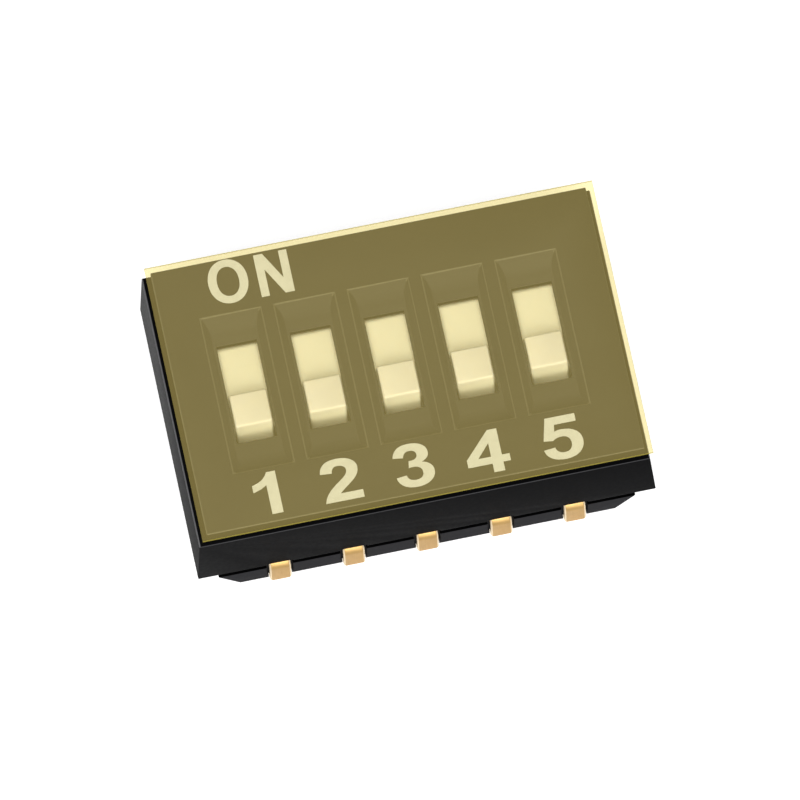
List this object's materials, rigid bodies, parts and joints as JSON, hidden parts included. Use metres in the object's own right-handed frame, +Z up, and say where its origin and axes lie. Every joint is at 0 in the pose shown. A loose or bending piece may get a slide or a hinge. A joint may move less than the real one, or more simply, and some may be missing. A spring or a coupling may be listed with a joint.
{
  "type": "dip switch",
  "caption": "Low surface-mount row of slide switches on the half grid, with hooked gold leads, recessed white sliders at OFF and an amber sealing film over the slots.",
  "frame": {"origin": "middle of the solder plane, under the middle of the row", "axes": "+X along the row from switch 1 to the last switch, +Y to the ON side, +Z up"},
  "size_m": [0.0078, 0.0052, 0.0024],
  "materials": {
    "black_lcp": "fine moulded",
    "grey_lcp": "fine moulded",
    "white_nylon": "smooth",
    "gilt_brass": "plated satin",
    "gilt_bronze": "plated bright",
    "polyimide_film": "clear film"
  },
  "bodies": {
    "housing": {"cover": "black_lcp", "base": "grey_lcp", "seal_film": "polyimide_film", "terminal_front_1": "gilt_brass", "terminal_front_2": "gilt_brass", "terminal_front_3": "gilt_brass", "terminal_front_4": "gilt_brass", "terminal_front_5": "gilt_brass", "terminal_back_1": "gilt_brass", "terminal_back_2": "gilt_brass", "terminal_back_3": "gilt_brass", "terminal_back_4": "gilt_brass", "terminal_back_5": "gilt_brass"},
    "switch_1": {"slider_1": "white_nylon", "wiper_1": "gilt_bronze"},
    "switch_2": {"slider_2": "white_nylon", "wiper_2": "gilt_bronze"},
    "switch_3": {"slider_3": "white_nylon", "wiper_3": "gilt_bronze"},
    "switch_4": {"slider_4": "white_nylon", "wiper_4": "gilt_bronze"},
    "switch_5": {"slider_5": "white_nylon", "wiper_5": "gilt_bronze"}
  },
  "joints": [
    {"name": "slide_1", "type": "slide", "parent": "housing", "child": "switch_1", "axis": [0, 1, 0], "range_m": [0, 0.0006]},
    {"name": "slide_2", "type": "slide", "parent": "housing", "child": "switch_2", "axis": [0, 1, 0], "range_m": [0, 0.0006]},
    {"name": "slide_3", "type": "slide", "parent": "housing", "child": "switch_3", "axis": [0, 1, 0], "range_m": [0, 0.0006]},
    {"name": "slide_4", "type": "slide", "parent": "housing", "child": "switch_4", "axis": [0, 1, 0], "range_m": [0, 0.0006]},
    {"name": "slide_5", "type": "slide", "parent": "housing", "child": "switch_5", "axis": [0, 1, 0], "range_m": [0, 0.0006]}
  ]
}
